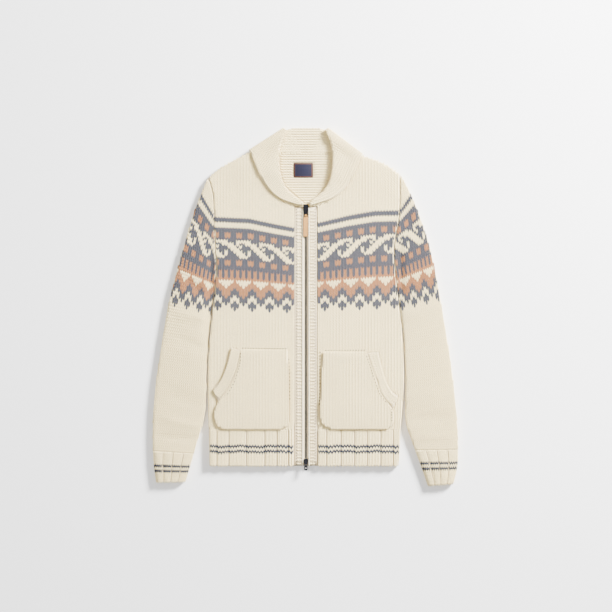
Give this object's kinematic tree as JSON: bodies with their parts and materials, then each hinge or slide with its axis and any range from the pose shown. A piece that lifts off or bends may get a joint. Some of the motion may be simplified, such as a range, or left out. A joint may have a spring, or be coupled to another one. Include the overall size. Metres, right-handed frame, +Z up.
{
  "type": "zip cardigan",
  "caption": "Chunky knitted zip cardigan laid flat, with a roll collar, patterned yoke, patch pockets, ribbed hem and cuffs, and a zip with two turning pulls",
  "frame": {"origin": "centre of the bounding box at the height of the surface that the back of the garment lies on", "axes": "+X to the viewer's right across the garment, +Y from the hem to the collar, +Z up, away from the surface"},
  "size_m": [0.6722, 0.7867, 0.0205],
  "materials": {
    "cream_knit": "chunky stocking-stitch knit",
    "cream_rib": "ribbed knit",
    "zip_tape": "woven zip tape",
    "zip_teeth": "dark moulded teeth",
    "gunmetal": "black gunmetal plating",
    "leather": "bare tan leather with a stitched edge",
    "label_cloth": "woven satin label without words"
  },
  "bodies": {
    "garment": {"back": "cream_knit", "front_left": "cream_knit", "front_right": "cream_knit", "sleeve_left": "cream_knit", "sleeve_right": "cream_knit", "collar": "cream_knit", "pocket_left": "cream_knit", "pocket_right": "cream_knit", "hem_back": "cream_rib", "hem_front_left": "cream_rib", "hem_front_right": "cream_rib", "cuff_left": "cream_rib", "cuff_right": "cream_rib", "placket_left": "cream_rib", "placket_right": "cream_rib", "pocket_trim_left": "cream_rib", "pocket_trim_right": "cream_rib", "zip_tape_left": "zip_tape", "zip_tape_right": "zip_tape", "zip_chain": "zip_teeth", "zip_slider": "gunmetal", "bottom_slider": "gunmetal", "neck_label": "label_cloth"},
    "zip_pull": {"pull_link": "gunmetal", "leather_pull": "leather"},
    "hem_pull": {"bottom_tab": "gunmetal"}
  },
  "joints": [
    {"name": "zip_pull_turn", "type": "hinge", "parent": "garment", "child": "zip_pull", "pos_m": [0.001, 0.2082, 0.0145], "axis": [-1, 0, 0], "range_deg": [0, 135]},
    {"name": "hem_pull_turn", "type": "hinge", "parent": "garment", "child": "hem_pull", "pos_m": [0.001, -0.3406, 0.0145], "axis": [-1, 0, 0], "range_deg": [0, 135]}
  ]
}
